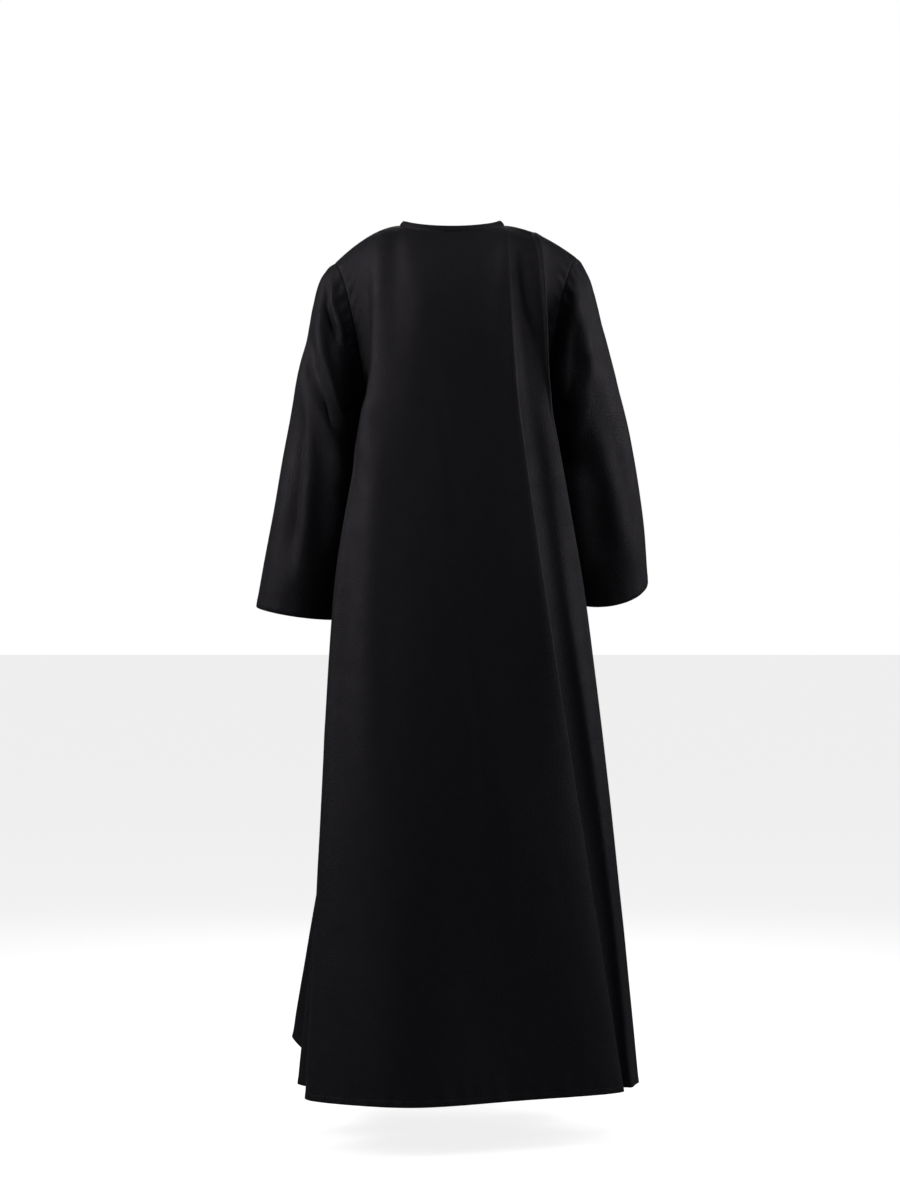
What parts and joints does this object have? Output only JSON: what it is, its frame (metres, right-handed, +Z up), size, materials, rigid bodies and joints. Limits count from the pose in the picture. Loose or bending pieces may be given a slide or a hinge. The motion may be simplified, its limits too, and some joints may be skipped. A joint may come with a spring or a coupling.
{
  "type": "abaya cloak",
  "caption": "A long, loose, open-fronted A-line cloak with wide set-in sleeves and a round bound neck, hanging in soft folds as worn, its fronts lapped edge over edge.",
  "frame": {"origin": "In the middle of the neck opening, at the height of the shoulders where the wearer holds the cloak up; the neck ends of the shoulder seams are 85 mm to each side and 10 mm above.", "axes": "+Z is up and the cloak hangs down from the origin. The wearer faces -Y, and the wearer's left is +X."},
  "size_m": [0.6485, 0.5105, 1.4103],
  "materials": {
    "crepe": "matte black crepe with a soft grey sheen at grazing angles",
    "binding": "the same black crepe, folded double"
  },
  "bodies": {
    "root": {"back": "crepe", "front_left": "crepe", "front_right": "crepe", "sleeve_left": "crepe", "sleeve_right": "crepe", "neck_binding": "binding"}
  },
  "joints": []
}
